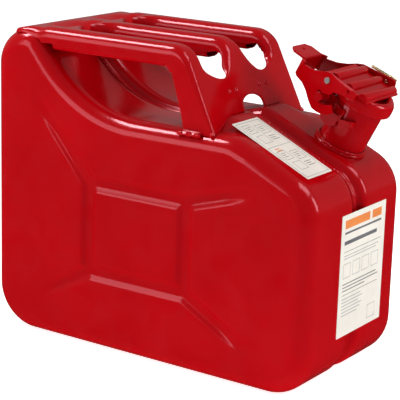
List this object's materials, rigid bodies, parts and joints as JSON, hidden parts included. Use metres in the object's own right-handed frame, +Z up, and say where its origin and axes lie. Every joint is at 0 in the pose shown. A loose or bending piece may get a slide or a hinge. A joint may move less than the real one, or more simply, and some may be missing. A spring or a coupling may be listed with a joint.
{
  "type": "fuel can",
  "caption": "Pressed-steel fuel can with carrying bars over a dished back and a leaning neck closed by a cam-lever cap.",
  "frame": {"origin": "on the floor under the middle of the can's body, where the mid-length plane meets the seam plane", "axes": "+X from the back of the can towards the spout, +Y across to the side away from the deck label, +Z up"},
  "size_m": [0.349, 0.1609, 0.2901],
  "materials": {
    "red_enamel": "glossy stoved enamel",
    "zinc_steel": "dull zinc plate",
    "yellow_zinc": "yellow-passivated zinc wire",
    "nitrile": "matt black fuel-proof rubber",
    "label_stock": "satin off-white label with blank grey bars"
  },
  "bodies": {
    "can": {"left_shell": "red_enamel", "right_shell": "red_enamel", "seam_weld": "red_enamel", "handle_frame": "red_enamel", "handle_grip_strips": "red_enamel", "handle_spot_welds": "red_enamel", "handle_foot_welds": "red_enamel", "filler_neck": "red_enamel", "neck_flange": "red_enamel", "neck_weld": "red_enamel", "breather_tube": "zinc_steel", "hinge_bracket": "red_enamel", "neck_side_lugs": "red_enamel", "hinge_pin": "red_enamel", "front_label": "label_stock", "deck_label": "label_stock"},
    "cap": {"cap_dish": "red_enamel", "cap_carrier": "red_enamel", "cap_gasket": "nitrile", "gasket_retainer": "zinc_steel", "cap_rivet": "zinc_steel"},
    "lever": {"lever": "red_enamel", "lever_pin": "zinc_steel", "lever_spacers": "zinc_steel"},
    "safety_pin": {"safety_pin": "yellow_zinc"}
  },
  "joints": [
    {"name": "cap_hinge", "type": "hinge", "parent": "can", "child": "cap", "pos_m": [0.12269, 0.038, 0.24746], "axis": [0, -1, 0], "range_deg": [0, 58]},
    {"name": "lever_pivot", "type": "hinge", "parent": "cap", "child": "lever", "pos_m": [0.13021, 0.038, 0.2622], "axis": [0, 1, 0], "range_deg": [0, 52]},
    {"name": "safety_pin_slide", "type": "slide", "parent": "lever", "child": "safety_pin", "axis": [0, 1, 0], "range_m": [0, 0.014]}
  ]
}
